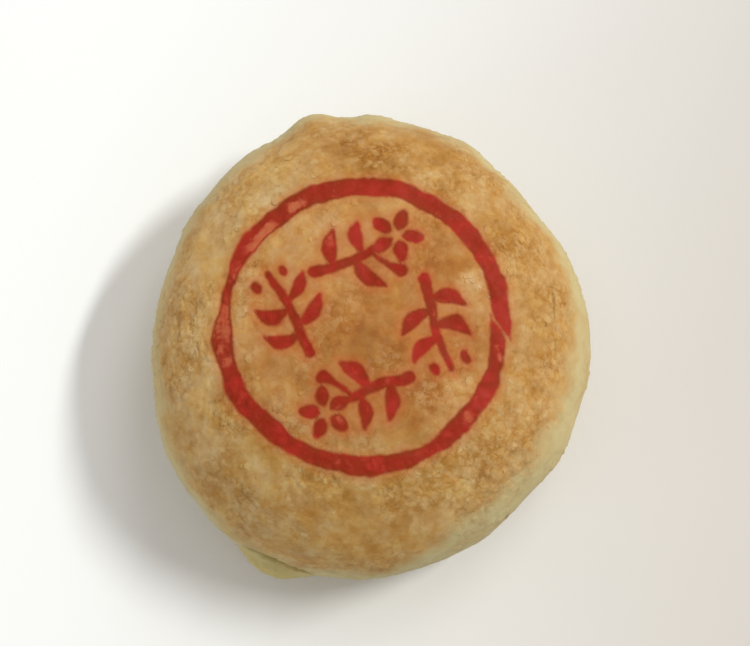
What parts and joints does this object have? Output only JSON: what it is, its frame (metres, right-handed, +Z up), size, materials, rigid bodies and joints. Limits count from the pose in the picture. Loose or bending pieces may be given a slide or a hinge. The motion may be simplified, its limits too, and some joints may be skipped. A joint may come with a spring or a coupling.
{
  "type": "mooncake",
  "caption": "Whole round mooncake of flaky pastry, browned on top, with pale bulging sides and a red ring of sprigs stamped on it; it stands on its flat base.",
  "frame": {"origin": "middle of the plan's box, at the height of the flat base", "axes": "+Z up through the stamped top; +Y towards the back, along the slightly longer way across; +X to the right"},
  "size_m": [0.0698, 0.0744, 0.0302],
  "materials": {
    "crust": "matt baked pastry, patchy golden brown on top and base, pale cream on the sides, with a red food-dye stamp on top"
  },
  "bodies": {
    "root": {"mooncake": "crust"}
  },
  "joints": []
}
